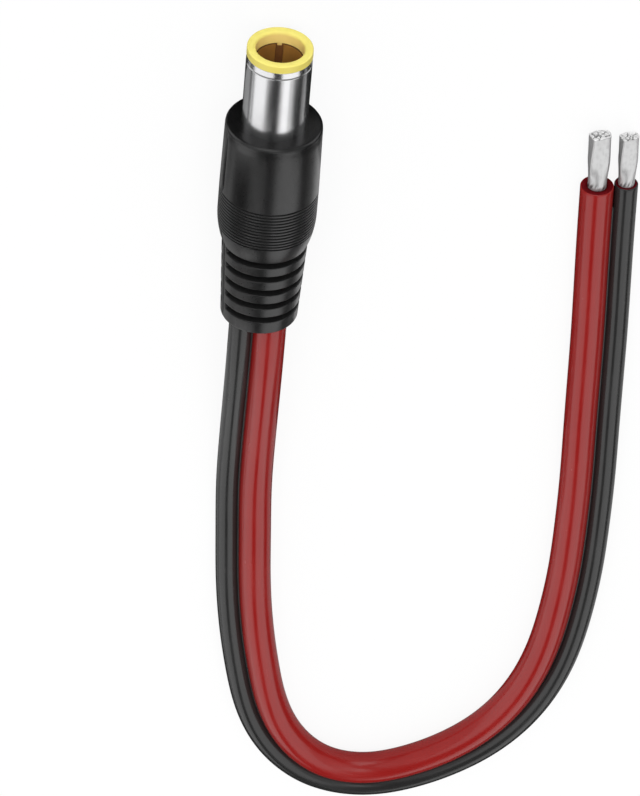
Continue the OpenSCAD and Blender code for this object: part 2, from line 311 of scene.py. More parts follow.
HEIGHT_AND_TONE = ("Height", "Tone")
grain_scales = {"Fine": 9000.0, "Broad": 500.0}
grain_group, given, made = new_group("moulded grain", grain_scales, HEIGHT_AND_TONE)
fine = noise(grain_group, given["Place"], given["Fine"], 3.0)
broad = noise(grain_group, given["Place"], given["Broad"], 4.0)
fill(grain_group, made, Height=fine, Tone=spread(grain_group, broad, 0.35, 0.65))

line_scales = {"Along": 9000.0, "Across": 60.0}
lines_group, given, made = new_group("turning lines", line_scales, HEIGHT_AND_TONE)
along, across = given["Along"], given["Across"]
scales = add_node(lines_group, "ShaderNodeCombineXYZ", X=across, Y=along, Z=across)
stretched = add_node(lines_group, "ShaderNodeVectorMath", {"operation": "MULTIPLY"})
plug_in(lines_group, stretched.inputs[0], given["Place"])
plug_in(lines_group, stretched.inputs[1], scales.outputs[0])
lines = noise(lines_group, stretched.outputs[0], 1.0, 3.0)
fill(lines_group, made, Height=lines, Tone=spread(lines_group, lines, 0.3, 0.7))

PATCH_EDGE = 0.12
patch_group, given, made = new_group("age patches", {"Size": 400.0, "Cover": 0.5}, ("Mask",))
cloud = noise(patch_group, given["Place"], given["Size"], 6.0)
clear = combine(patch_group, "SUBTRACT", 1.0, given["Cover"])
over = combine(patch_group, "SUBTRACT", cloud, clear)
fill(patch_group, made, Mask=spread(patch_group, over, -PATCH_EDGE, PATCH_EDGE))
print("groups:", [group.name for group in bpy.data.node_groups])

# %% [markdown]
# ## The twin lead
# Two insulated wires run side by side out of the body, drop to the table, turn back in a U and end
# beside the plug. Insulation is extruded, so its look is long and smooth: a faint streak along it,
# a soft gloss and a dark wine-coloured core where it is cut. The red wire's route is a short list
# of points, the same ones that the solids follow. A spline through them is smooth in its bend as
# well as its slope, so reflections run evenly.

# %% Route of the leads
RED_D, BLACK_D = 4.1 * MM, 2.9 * MM
RED_CORE_D, BLACK_CORE_D = 2.4 * MM, 2.0 * MM
LEAD_GAP = 0.05 * MM
LEAD_IN = 12 * MM
RED_X = -(BLACK_D + LEAD_GAP) / 2
BLACK_X = (RED_D + LEAD_GAP) / 2
# Sideways and backward from the red lead's exit, and height as a share of the axis height
ROUTE = np.array([
    [0, 0, 1], [0, 8, 0.93], [0, 16, 0.62], [0, 24, 0.27], [-0.1, 32, 0.06], [-0.5, 40, 0],
    [-1, 48, 0], [-1.9, 56, 0], [-3.1, 63, 0], [-4.6, 69.1, 0], [-7.6, 75.2, 0], [-12.2, 79.1, 0],
    [-17.6, 79.9, 0], [-22.4, 78.5, 0], [-26.9, 76, 0], [-31, 72.6, 0], [-34.4, 68.3, 0],
    [-37, 63, 0], [-38.7, 57, 0], [-39.7, 50, 0], [-40.2, 43, 0], [-40.3, 36, 0], [-40.2, 28, 0],
    [-39.9, 20, 0], [-39.6, 12, 0], [-39.3, 4, 0], [-38.9, -4, 0], [-38.5, -12, 0], [-38.2, -19, 0],
])


def unit(vectors):
    """Vectors divided by their own lengths."""
    return vectors / np.linalg.norm(vectors, axis=-1, keepdims=True)


def route_points(radius, aside):
    """The route in metres for a lead that runs to the right of the red one: each point moves along
    the level direction square to its neighbours, and its height runs from the plug's axis down to
    the lead's radius."""
    flat = np.column_stack([ROUTE[:, :2] * MM, np.zeros(len(ROUTE))])
    ways = np.concatenate([flat[1:2] - flat[:1], flat[2:] - flat[:-2], flat[-1:] - flat[-2:-1]])
    plan = flat + aside * unit(np.cross(ways, [0, 0, 1]))
    height = radius + ROUTE[:, 2] * (MOUTH[2] - radius)
    return np.column_stack([RED_X + plan[:, 0], body_high[1] + plan[:, 1], height])


BESIDE = (RED_D + BLACK_D) / 2 + LEAD_GAP
red_knots, black_knots = route_points(RED_D / 2, 0), route_points(BLACK_D / 2, BESIDE)
print(f"route: {len(ROUTE)} points for each lead, {BESIDE / MM:.2f} mm apart")

# %% Smooth paths
PATH_STEPS = 420


def step_lengths(path):
    """Distance from each point of a path to the next."""
    return np.linalg.norm(np.diff(path, axis=0), axis=1)


def travelled(path):
    """Distance along a path at each of its points: the running sum of its steps."""
    return np.concatenate([[0], np.cumsum(step_lengths(path))])


def smooth_path(points):
    """Natural cubic spline through the points. One small linear system gives the second derivatives
    over the chord length, and each stretch is then the cubic that has them and the points at its
    two ends."""
    gaps, knots = step_lengths(points), travelled(points)
    inner = np.arange(1, len(points) - 1)
    system = np.eye(len(points))
    system[inner, inner - 1] = gaps[:-1]
    system[inner, inner] = 2 * (gaps[:-1] + gaps[1:])
    system[inner, inner + 1] = gaps[1:]
    change = np.zeros_like(points)
    change[1:-1] = 6 * np.diff(np.diff(points, axis=0) / gaps[:, None], axis=0)
    second = np.linalg.solve(system, change)
    at = np.linspace(0, knots[-1], PATH_STEPS)
    i = np.clip(np.searchsorted(knots, at, side="right") - 1, 0, len(points) - 2)
    a = ((knots[i + 1] - at) / gaps[i])[:, None]
    b = 1 - a
    bow = ((a**3 - a) * second[i] + (b**3 - b) * second[i + 1]) * (gaps[i] ** 2)[:, None] / 6
    return a * points[i] + b * points[i + 1] + bow


red_path, black_path = (
    smooth_path(np.concatenate([knots[:1] - [[0, LEAD_IN, 0]], knots]))
    for knots in (red_knots, black_knots)
)
print("leads:", [f"{travelled(path)[-1] / MM:.1f} mm" for path in (red_path, black_path)])

# %% [markdown]
# The insulation's finish reads a direction round the lead and a distance along it from the mesh, so
# its streaks follow every bend. The knife leaves the cut face dull and dark, so that gets a finish
# of its own on the same mesh.

# %% Insulation and cut finishes
def insulation(name, colour, streak):
    """Soft extruded plastic: colour with lengthwise streaks and a satin gloss."""
    material, tree, shader = new_finish(name)
    streaks = noise(tree, mark(tree, "lay", "Vector"), 3.0, 4.0)
    grain = use_group(tree, grain_group, Place=place(tree), Fine=5000.0, Broad=150.0)
    tone = combine(tree, "MULTIPLY", spread(tree, streaks, 0.3, 0.7), grain["Tone"])
    gloss = spread(tree, tone, 0, 1, 0.2, 0.3)
    height = combine(tree, "ADD", streaks, grain["Height"])
    dress(tree, shader, between(tree, tone, colour, streak), gloss, height, 0.003 * MM)
    return material


def plastic(name, colour, other, rough, grain_depth, fine, broad, shine=0.5):
    """Moulded plastic: slow changes of tone, a fine grain, and gloss that follows both."""
    material, tree, shader = new_finish(name, Specular_IOR_Level=shine)
    grain = use_group(tree, grain_group, Place=place(tree), Fine=fine, Broad=broad)
    gloss = spread(tree, grain["Height"], 0.3, 0.7, rough, rough + 0.1)
    toned = between(tree, grain["Tone"], colour, other)
    dress(tree, shader, toned, gloss, grain["Height"], grain_depth)
    return material


CUT_LOOK = {"rough": 0.7, "grain_depth": 0.006 * MM, "fine": 9000.0, "broad": 900.0, "shine": 0.06}
red_finish = insulation("red insulation", (0.26, 0.008, 0.007), (0.29, 0.013, 0.011))
black_finish = insulation("black insulation", grey(0.018), grey(0.024))
red_cut = plastic("red cut", (0.11, 0.002, 0.004), (0.14, 0.003, 0.006), **CUT_LOOK)
black_cut = plastic("black cut", (0.075, 0.002, 0.005), (0.1, 0.003, 0.007), **CUT_LOOK)
print("lead finishes:", [finish.name for finish in (red_finish, black_finish, red_cut, black_cut)])

# %% Lead jackets
JACKET_SIDES = 56
CUT_ROUND, CUT_SLOPE = 0.12 * MM, 0.3
CUT_DEPTH = 1.2 * MM
STREAK_STRETCH = 40


def full_turn(count):
    """Even angles round a circle."""
    return np.linspace(0, 2 * np.pi, count, endpoint=False)


def path_frames(path):
    """Directions at each path point: ahead, level to the right, and the third square to both."""
    ahead = unit(np.gradient(path, axis=0))
    aside = unit(np.cross(ahead, [0, 0, 1]))
    return ahead, aside, np.cross(aside, ahead)


def lay_marks(angle, along):
    """Place round and along a lead: cos and sin of the angle, and the distance along it."""
    return with_ends(np.stack(np.broadcast_arrays(np.cos(angle), np.sin(angle), along), axis=-1))


def jacket(path, radius, core_radius):
    """A circle carried along the path. At the far end it rounds over, steps in to the conductor and
    goes back in along it, so the cut face has a real bore. Returns the grid, its place round and
    along, and cut rows."""
    ahead, aside, upward = path_frames(path)
    angle = full_turn(JACKET_SIDES)
    slope, half_in = CUT_ROUND * CUT_SLOPE, core_radius + (radius - core_radius) / 2
    end_shift = [-CUT_ROUND, -slope, 0, 0, 0, -CUT_DEPTH]
    end_reach = [radius, radius - slope, radius - CUT_ROUND, half_in, core_radius, core_radius]
    row = np.concatenate([np.arange(len(path) - 1), np.full(len(end_shift), len(path) - 1)])
    shift = np.concatenate([np.zeros(len(path) - 1), end_shift])
    reach = np.concatenate([np.full(len(path) - 1, radius), end_reach])
    middle = path[row] + shift[:, None] * ahead[row]
    x, y = np.cos(angle)[None, :, None], np.sin(angle)[None, :, None]
    out = x * aside[row, None] + y * upward[row, None]
    lay = lay_marks(angle, (travelled(path)[row] * STREAK_STRETCH)[:, None])
    return middle[:, None] + reach[:, None, None] * out, lay, np.arange(len(row) - 1) > len(path)


def add_jacket(colour, path, diameter, core_diameter, finish, cut_finish):
    """A lead's insulation in place of its solid, with the cut finish on its cut rows and bore."""
    grid, lay, cut_rows = jacket(path, diameter / 2, core_diameter / 2)
    names = f"{colour}_jacket", f"{colour}_lead", f"{colour}_insulation"
    piece = add_piece(*names, [closed_surface(grid)], finish, lay=lay)
    piece.data.materials.append(cut_finish)
    finish_number = np.repeat(np.concatenate([cut_rows, [False, True]]), JACKET_SIDES)
    piece.data.polygons.foreach_set("material_index", finish_number.astype(np.int32))
    return piece


red_jacket = add_jacket("red", red_path, RED_D, RED_CORE_D, red_finish, red_cut)
black_jacket = add_jacket("black", black_path, BLACK_D, BLACK_CORE_D, black_finish, black_cut)

# %% [markdown]
# ## Stripped and tinned ends
# At the far end of each lead the insulation is cut back. The copper strands were twisted, dipped in
# solder, pressed and clipped, so they read as one bright bar: uneven flats that turn a little along
# it, faint strand lines, and a clipped end where the strands show as uneven patches with dark gaps
# between them. The bar is a radius over the angle and the distance along it. The clipped end is a
# height over the same angle and a shrinking radius. The finish is bright metal with dull patches
# and fine streaks along the twist.

# %% Tinned finish
BRIGHT_TIN, DULL_TIN, PAINTED_END_LIGHT, GAP_SHADE = (grey(level) for level in (0.6, 0.5, 0.86, 0.09))
strand_finish, tree, shader = new_finish("tinned strands")
streaks = noise(tree, mark(tree, "lay", "Vector"), 4.0, 5.0)
patches = use_group(tree, patch_group, Place=place(tree), Size=1500.0, Cover=0.45)
tone = combine(tree, "MULTIPLY", patches["Mask"], spread(tree, streaks, 0.35, 0.65))
end = mark(tree, "end")
# Painted light: the clipped end is lighter than the sides, and less metallic.
skin = between(tree, end, between(tree, tone, BRIGHT_TIN, DULL_TIN), PAINTED_END_LIGHT)
# Painted shade: the gap mark darkens the gaps between clipped strands and the hollows in the solder
# collar.
gapped = between(tree, mark(tree, "gap"), skin, GAP_SHADE)
dress(tree, shader, gapped, spread(tree, tone, 0, 1, 0.36, 0.51), streaks, 0.008 * MM)
fill(tree, shader, Metallic=spread(tree, end, 0, 1, 0.6, 0.3))
print("strand finish:", len(tree.nodes), "nodes")

# %% Outline of the pressed bundle
STRANDS, STRAND_GROOVE = 9, 0.008
# Directions of the flats at the clipped end, and their distances as shares of the radius
FLAT_TURN = np.radians([67, 156, 238, 270, 332, 14])
FLAT_AT = np.array([0.68, 1.03, 0.9, 0.89, 1.13, 1.08])
FLAT_EDGE = 11


def smooth_step(low, high, x):
    """0 below low, 1 above high, and 3q^2 - 2q^3 between them, with q the share of the way."""
    q = np.clip((x - low) / (high - low), 0, 1)
    return q * q * (3 - 2 * q)


def pressed_outline(angle):
    """Outline of the pressed bundle, as a share of its plain radius. A flat in direction t at
    distance d is the line d / cos(angle - t), and 1 / (sum of (cos / d)^p)^(1/p) over all flats
    rounds the corners where two of them meet. A shallow groove between neighbouring strands comes
    off it."""
    facing = np.maximum(np.cos(angle[..., None] - FLAT_TURN) / FLAT_AT, 0)
    flats = (facing**FLAT_EDGE).sum(axis=-1) ** (-1 / FLAT_EDGE)
    groove = (1 - np.abs(np.cos(angle * STRANDS / 2))) ** 3
    return flats * (1 - STRAND_GROOVE * groove)


# %% Clipped end of the strands
# Shares of the bundle's radius: where strands lie in the end, how far they stray, their levels
OUTER_COUNT, OUTER_AT, OUTER_TURN, OUTER_SQUASH = 7, 0.68, 0.4, 0.85
INNER_AT = [[0.25, 0.05], [-0.22, 0.12], [-0.05, -0.22]]
STRAY, LEVEL_LOW, LEVEL_HIGH = 0.07, -0.14, 0.12
STRAND_DOME, GAP_DEPTH = 0.3, 0.15
RIM_START, RIM_END = 0.86, 0.97
GAP_NARROW, GAP_WIDE = 0.01, 0.17


def clipped_end(x, y, shrink, seed):
    """Height of the clipped strands over the end, and a mark for the gaps. Each point takes the
    level of the nearest strand, a gap opens where the two nearest are almost equally far away, and
    the rim stays level."""
    chance = np.random.default_rng(seed)
    turn = OUTER_TURN + np.arange(OUTER_COUNT) * 2 * np.pi / OUTER_COUNT
    outer = OUTER_AT * np.column_stack([np.cos(turn), OUTER_SQUASH * np.sin(turn)])
    centres = np.concatenate([outer, INNER_AT])
    centres += chance.normal(0, STRAY, centres.shape)
    level = chance.uniform(LEVEL_LOW, LEVEL_HIGH, len(centres))
    distance = np.hypot(x[..., None] - centres[:, 0], y[..., None] - centres[:, 1])
    ordered = np.sort(distance, axis=-1)
    inner = 1 - smooth_step(RIM_START, RIM_END, shrink)
    gap = inner * (1 - smooth_step(GAP_NARROW, GAP_WIDE, ordered[..., 1] - ordered[..., 0]))
    dome = STRAND_DOME * ordered[..., 0] ** 2
    return (level[distance.argmin(axis=-1)] - dome) * inner - GAP_DEPTH * gap, gap


# %% Strand bundles
BUNDLE_SIDES, WALL_ROWS, END_ROWS = 180, 64, 36
STRAND_LAY = np.radians(25)
STRAND_HIDDEN, WALL_START = -1.0 * MM, -0.1 * MM
ROOT_SHARE, PRESSED_FROM = 0.94, 0.55
COLLAR, COLLAR_AT, COLLAR_W, LUMP_LEN = 0.06, 0.35 * MM, 0.45 * MM, 0.25 * MM
WAVE, RIPPLE = 0.012, 0.01
END_EDGE, END_OUT, END_IN, END_FROM = [0.985, 0.95], 0.92, 0.03, 0.99
GAP_SHADE_MARK, HOLLOW_SHADE, HOLLOW_FROM, HOLLOW_FULL = 0.7, 0.85, 0.45, 0.85
TIN_STRETCH = 60
RED_STRIP, BLACK_STRIP, BLACK_SWELL = 7.6 * MM, 7.05 * MM, 1.05


def bundle(path, radius, strip, seed):
    """Twisted bar from just inside the insulation to its clipped end. Along the wall a round root
    turns into the pressed outline, which turns with the distance, with a lumpy collar of solder at
    the root. Over the end the radius shrinks. Returns the grid, and the marks for its place round
    and along, for gaps and for the end."""
    ahead, aside, upward = (way[-1] for way in path_frames(path))
    wall = np.concatenate([[STRAND_HIDDEN], np.linspace(WALL_START, strip, WALL_ROWS)])
    inward = np.concatenate([END_EDGE, np.linspace(END_OUT, END_IN, END_ROWS)])
    along = np.concatenate([wall, np.full(len(inward), strip)])[:, None]
    share = along / strip
    angle = full_turn(BUNDLE_SIDES)[None, :]
    turned = angle - STRAND_LAY * (1 - share)
    shrink = np.concatenate([np.ones(len(wall)), inward])[:, None]
    pressed = smooth_step(0, PRESSED_FROM, share)
    outline = ROOT_SHARE + pressed * (pressed_outline(turned) - ROOT_SHARE)
    wave = 1 + WAVE * np.sin(2 * turned + 5 * share) + RIPPLE * np.sin(3 * angle - 9 * share)
    lumps = 0.5 + 0.5 * np.sin(5 * angle + seed) * np.sin(8 * angle - seed + along / LUMP_LEN)
    near_root = np.exp(-(((along - COLLAR_AT) / COLLAR_W) ** 2))
    reach = radius * outline * wave * (1 + COLLAR * near_root * lumps) * shrink
    x, y = reach / radius * np.cos(angle), reach / radius * np.sin(angle)
    level, gap = clipped_end(x, y, shrink, seed)
    rise = along + radius * level * (shrink < 1)
    out = x[..., None] * aside + y[..., None] * upward
    grid = path[-1] + rise[..., None] * ahead + radius * out
    hollow_shade = HOLLOW_SHADE * near_root * smooth_step(HOLLOW_FROM, HOLLOW_FULL, 1 - lumps)
    gaps = np.where(shrink < 1, GAP_SHADE_MARK * gap, hollow_shade)
    end = np.broadcast_to(shrink < END_FROM, turned.shape).astype(float)
    lay = lay_marks(turned, along * TIN_STRETCH)
    return grid, {"gap": with_ends(gaps), "end": with_ends(end), "lay": lay}


def add_bundle(colour, path, core_diameter, strip, seed):
    """A lead's bare end in place of its plain twisted solid."""
    grid, marks = bundle(path, core_diameter / 2, strip, seed)
    names = f"{colour}_strands", f"{colour}_bare_end", "tinned_copper"
    return add_piece(*names, [closed_surface(grid)], strand_finish, **marks)


red_strands = add_bundle("red", red_path, RED_CORE_D, RED_STRIP, seed=3)
black_strands = add_bundle("black", black_path, BLACK_SWELL * BLACK_CORE_D, BLACK_STRIP, seed=8)

# %% [markdown]
# Twin lead is extruded as a pair, with a thin web of plastic that joins the two wires until they
# are split for stripping. Without it the table would shine through between them. The web is a small
# oval carried along the line where the wires face each other, and it stops short of the cut ends.

# %% Web between the leads
WEB_W, WEB_H, WEB_SIDES = 0.3 * MM, 0.42 * MM, 16
WEB_SPLIT, WEB_STRETCH = 3 * MM, 0.02
web_share = (RED_D + LEAD_GAP) / (RED_D + BLACK_D + 2 * LEAD_GAP)
web_path = smooth_path(red_knots + web_share * (black_knots - red_knots))
web_path = web_path[travelled(web_path) < travelled(web_path)[-1] - WEB_SPLIT]
_, web_aside, web_up = path_frames(web_path)
oval = full_turn(WEB_SIDES)[None, :, None]
web_grid = web_path[:, None] + WEB_W * np.cos(oval) * web_aside[:, None]
web_grid = web_grid + WEB_H * np.sin(oval) * web_up[:, None]
web_lay = lay_marks(oval[..., 0], np.arange(len(web_path))[:, None] * WEB_STRETCH)
web_skin = closed_surface(web_grid)
web = add_piece("lead_web", None, "black_insulation", [web_skin], black_finish, lay=web_lay)

# %% Leads
print("leads: two, from the body to their stripped ends")

# %% [markdown]
# ## Turned and moulded round pieces
# Barrel, bush, pin and bead are round, so each is a profile of radius and station spun about the
# plug's axis. Real edges are never sharp, and a small radius catches a line of light. Each corner
# of a profile is therefore a short parabola between two points on its sides, with a support point
# next to it that keeps the flats flat.

# %% Profiles and spinning
TURNS, CORNER_STEPS = 128, 5
SUPPORT_SHARE, SAME_SPOT = 0.25, 1e-6


def rounded(corners):
    """Closed profile from rows of radius, station and round-off. Each corner p becomes (1-q)^2 a +
    2q(1-q) p + q^2 b, where a and b lie the round-off away from it along its two sides."""
    corners = np.array(corners, float)
    spot, reach = corners[:, :2], corners[:, 2:]
    to_last = unit(np.roll(spot, 1, axis=0) - spot)
    to_next = unit(np.roll(spot, -1, axis=0) - spot)
    q = np.linspace(0, 1, CORNER_STEPS)[None, :, None]
    a, b = (spot + reach * to_last)[:, None], (spot + reach * to_next)[:, None]
    curve = (1 - q) ** 2 * a + 2 * q * (1 - q) * spot[:, None] + q**2 * b
    support = SUPPORT_SHARE * reach[:, None]
    before, after = a + support * to_last[:, None], b + support * to_next[:, None]
    profile = np.concatenate([before, curve, after], axis=1).reshape(-1, 2)
    return profile[np.linalg.norm(profile - np.roll(profile, 1, axis=0), axis=1) > SAME_SPOT]


def on_plug(x, station, z):
    """Points in metres from millimetres beside, along and above the plug's axis."""
    return MOUTH + MM * np.stack(np.broadcast_arrays(x, station, z), axis=-1)


def spun(profile, angles=full_turn(TURNS)):
    """A profile turned about the axis: radius times cos and sin of the angle, and its station."""
    radius, station = profile[:, :1], profile[:, 1:]
    return on_plug(radius * np.cos(angles), station, radius * np.sin(angles))


def turned_solid(corners):
    """A solid whose profile starts and ends beside the axis, and is closed there."""
    return closed_surface(spun(rounded(corners)))


# %% [markdown]
# ## Barrel
# The barrel is brass tube, turned with a lead-in taper and one fine groove, then nickel plated and
# polished. Nickel is a little darker than silver. Turning leaves fine lines round it, and handling
# leaves faint smears, which show in the gloss more than in the colour. A mark on the mesh paints
# shade into the groove.

# %% Nickel finish
def turned_metal(name, colour, aged, rough, line_depth, metal=1.0):
    """Turned metal: gloss that changes with the turning lines, and patches of age over it."""
    material, tree, shader = new_finish(name, Metallic=metal)
    at = place(tree)
    turning = use_group(tree, lines_group, Place=at)
    patches = use_group(tree, patch_group, Place=at, Size=260.0, Cover=0.42)
    wear = combine(tree, "ADD", combine(tree, "MULTIPLY", turning["Tone"], 0.5), patches["Mask"])
    gloss = spread(tree, wear, 0, 1.5, rough, rough + 0.05)
    toned = between(tree, patches["Mask"], colour, aged)
    dress(tree, shader, toned, gloss, turning["Height"], line_depth)
    return material


def lead_over(material, label, colour):
    """Leads a finish's colour over to another one by a named mark on the mesh."""
    tree = material.node_tree
    base = tree.nodes["Principled BSDF"].inputs["Base Color"]
    plug_in(tree, base, between(tree, mark(tree, label), base.links[0].from_socket, colour))


NICKEL, SMEARED = (0.75, 0.75, 0.76), (0.72, 0.72, 0.73)
nickel_finish = turned_metal("nickel plate", NICKEL, SMEARED, 0.2, 0.0001 * MM)
# Painted shade: the groove mark darkens the groove to grey.
lead_over(nickel_finish, "groove", grey(0.5))
print("barrel finish:", nickel_finish.name)

# %% Barrel
LIP_LEN = 1.05
NOSE_END, GROOVE_MID, GROOVE_END = LIP_LEN + 0.8, LIP_LEN + 0.9, LIP_LEN + 1.0
GROOVE_R, GROOVE_HALF = BARREL_R - 0.1, 0.09
BARREL_BORE_R = BARREL_R - 0.5
ROOT_R, ROOT_DEPTH = BARREL_R - 0.2, 4
FLANGE_R, FLANGE_LEN = BARREL_R + 0.75, 1.2
ROOT_T = FACE_T + ROOT_DEPTH
FLANGE_T = ROOT_T - FLANGE_LEN
barrel_profile = rounded([
    (BARREL_BORE_R, LIP_LEN, 0.03), (GROOVE_R, LIP_LEN, 0.12), (BARREL_R, NOSE_END, 0.05),
    (GROOVE_R, GROOVE_MID, 0.03), (BARREL_R, GROOVE_END, 0.05), (BARREL_R, FACE_T, 0.02),
    (ROOT_R, FACE_T, 0.02), (ROOT_R, FLANGE_T, 0.02), (FLANGE_R, FLANGE_T, 0.05),
    (FLANGE_R, ROOT_T, 0.05), (BARREL_BORE_R, ROOT_T, 0.03),
])
barrel_r, barrel_t = barrel_profile.T
in_groove = (barrel_r > ROOT_R) & (np.abs(barrel_t - GROOVE_MID) < GROOVE_HALF)
barrel_skin = closed_surface(spun(barrel_profile), ring=True)
groove_shade_mark = np.repeat(in_groove.astype(float), TURNS)
add_piece(
    "barrel", "outer_sleeve", "nickel_barrel", [barrel_skin], nickel_finish, groove=groove_shade_mark
)

# %% [markdown]
# ## Yellow bush
# The bush insulates the barrel from the contact inside it, and its lip is the yellow ring that
# names this kind of plug. It is moulded, so the lip's edges are soft and the surface has a very
# fine grain. Light that has bounced inside the mouth looks warmer, and a mark on the mesh, which
# grows from the lip's face inward, carries that. A second mark paints shade on the lip's outer
# side, which is darker than its face.

# %% Yellow finish and bush
yellow_finish = plastic(
    "yellow plastic", (0.88, 0.77, 0.17), (0.91, 0.81, 0.19), 0.38, 0.004 * MM,
    fine=12000.0, broad=700.0,
)
lead_over(yellow_finish, "mouth", (1.0, 0.77, 0.26))
# Painted shade: this mark darkens the lip's outer side.
lead_over(yellow_finish, "rubbed", (0.7, 0.59, 0.11))
CONTACT_R = BARREL_BORE_R - 0.4
CONTACT_BORE_R = CONTACT_R - 0.3
MOUTH_R, LIP_R = CONTACT_BORE_R + 0.15, BARREL_R
SEAT_T, CONTACT_END_T = 1.65, FACE_T - 0.5
PUSH_GAP = 0.02
# From which radius and over which stations the two marks grow
INNER_SIDE_R, WARM_FROM, WARM_FULL = LIP_R - 0.4, 0.05, 0.6
OUTER_SIDE_R, SIDE_SHADE_FROM, SIDE_SHADE_FULL = LIP_R - 0.02, 0.1, 0.25
bush_bore_r, bush_r = CONTACT_R + PUSH_GAP, BARREL_BORE_R - PUSH_GAP
bush_profile = rounded([
    (bush_bore_r, CONTACT_END_T, 0.03), (bush_bore_r, SEAT_T, 0.02), (MOUTH_R, SEAT_T, 0.03),
    (MOUTH_R, 0, 0.45), (LIP_R, 0, 0.2), (LIP_R, LIP_LEN, 0.03), (bush_r, LIP_LEN, 0.02),
    (bush_r, CONTACT_END_T, 0.03),
])
inside = (bush_profile[:, 0] < INNER_SIDE_R) * smooth_step(WARM_FROM, WARM_FULL, bush_profile[:, 1])
outer_side_shade = (bush_profile[:, 0] > OUTER_SIDE_R) * smooth_step(SIDE_SHADE_FROM, SIDE_SHADE_FULL, bush_profile[:, 1])
bush_marks = {"mouth": np.repeat(inside, TURNS), "rubbed": np.repeat(outer_side_shade, TURNS)}
bush_skin = closed_surface(spun(bush_profile), ring=True)
add_piece("bush", "tip_insulator", "yellow_bush", [bush_skin], yellow_finish, **bush_marks)

# %% [markdown]
# ## Contact, pin and bead
# Inside the mouth is a rolled brass contact. A groove runs along its seam, and a notch in its rim
# shows the bush behind it as a light dot. A thin pin stands deeper in its middle, held by a dark
# bead at the bottom. The rolled wall is a small rounded rectangle carried round the axis from one
# side of the seam to the other, and a thinner strip closes the groove behind it. The closed end and
# the solder tab are further surfaces of the same mesh. Brass that has been handled is dull and
# brown, so the finish is part metal and part tarnish.

# %% Brass finishes
brass_finish = turned_metal(
    "brass", (0.5, 0.26, 0.065), (0.42, 0.2, 0.05), 0.42, 0.002 * MM, metal=0.3
)
# Painted shade: the rim mark darkens the contact's thin front face to dark brown.
lead_over(brass_finish, "rim", (0.09, 0.04, 0.012))
# A darker, duller copy of the brass on the seam's strip paints the shade in the groove, with some
# tarnish.
seam_shade_finish = turned_metal(
    "seam brass", (0.24, 0.105, 0.035), (0.2, 0.085, 0.03), 0.5, 0.002 * MM, metal=0.2
)
print("contact finishes:", brass_finish.name, "and", seam_shade_finish.name)

# %% Rolled contact and its seam
SEAM_W, SEAM_DEPTH, NOTCH_LEN = 0.9, 0.15, 0.4
SEAM_LAP, NOTCH_SHARE, NOTCH_LAP = 1.05, 0.6, 0.1
SEAM_ANGLE = -np.pi / 2
seam_half = np.arcsin(SEAM_W / 2 / CONTACT_BORE_R)
seam_r, notch_t = CONTACT_BORE_R + SEAM_DEPTH, SEAT_T + NOTCH_LEN


def wall_section(bore_r, start, end, front_round):
    """Section of the contact's wall from a bore to its outside, rounder at its front."""
    return rounded([
        (bore_r, start, front_round), (CONTACT_R, start, front_round),
        (CONTACT_R, end, 0.02), (bore_r, end, 0.02),
    ])


def part_ring(section, angles):
    """A section carried round the axis over some angles, and closed at both ends."""
    return closed_surface(np.swapaxes(spun(section, angles), 0, 1))


def seam_angles(low, high, steps):
    """Even angles beside the seam's middle, from low to high times half its width."""
    return SEAM_ANGLE + seam_half * np.linspace(low, high, steps)


roll_section = wall_section(CONTACT_BORE_R, SEAT_T, CONTACT_END_T, 0.06)
roll_angles = np.linspace(SEAM_ANGLE + seam_half, SEAM_ANGLE + 2 * np.pi - seam_half, TURNS)
rolled_wall = part_ring(roll_section, roll_angles)
strip_section = wall_section(seam_r, notch_t, CONTACT_END_T, 0.04)
notch_section = wall_section(seam_r, SEAT_T, notch_t + NOTCH_LAP, 0.04)
seam_skins = [
    part_ring(strip_section, seam_angles(-SEAM_LAP, SEAM_LAP, 9)),
    part_ring(notch_section, seam_angles(-SEAM_LAP, -NOTCH_SHARE, 5)),
    part_ring(notch_section, seam_angles(NOTCH_SHARE, SEAM_LAP, 5)),
]
print(f"seam: {SEAM_W} mm wide, {np.degrees(2 * seam_half):.0f} degrees of the contact")

# %% Closed end and solder tab of the contact
AXIS_R, END_WALL, RIM_LEN = 0.05, 0.3, 0.05
TAB_W, TAB_T, TAB_EDGE = 1.8, 0.5, 0.05
TAB_END_T = ROOT_T + TAB_T + 5.5


def flat_tab(x, top, start, end):
    """A bar with rounded edges along the plug: its section carried from start to end."""
    half_w, half_t = TAB_W / 2, TAB_T / 2
    corners = [(-half_w, -half_t), (half_w, -half_t), (half_w, half_t), (-half_w, half_t)]
    section = rounded([(*corner, TAB_EDGE) for corner in corners])
    stations = np.array([start, end])[:, None]
    return closed_surface(on_plug(section[:, 0] + x, stations, section[:, 1] + top - half_t))


end_back_t = CONTACT_END_T + END_WALL
closed_end = turned_solid([
    (AXIS_R, CONTACT_END_T, 0), (CONTACT_R, CONTACT_END_T, 0.02), (CONTACT_R, end_back_t, 0.02),
    (AXIS_R, end_back_t, 0),
])
tab_top = -RED_CORE_D / MM / 2 - PUSH_GAP
contact_tab = flat_tab(RED_X / MM, tab_top, CONTACT_END_T + END_WALL / 2, TAB_END_T)
on_rim = np.tile((roll_section[:, 1] < SEAT_T + RIM_LEN).astype(float), (TURNS, 1))
rim_shade_mark = np.concatenate([with_ends(on_rim), np.zeros(len(closed_end[0]) + len(contact_tab[0]))])
contact_skins = [rolled_wall, closed_end, contact_tab]
add_piece(
    "rolled_contact", "inner_contact", "brass_contact", contact_skins, brass_finish, rim=rim_shade_mark
)
add_piece("contact_seam", "inner_contact", "brass_contact", seam_skins, seam_shade_finish)

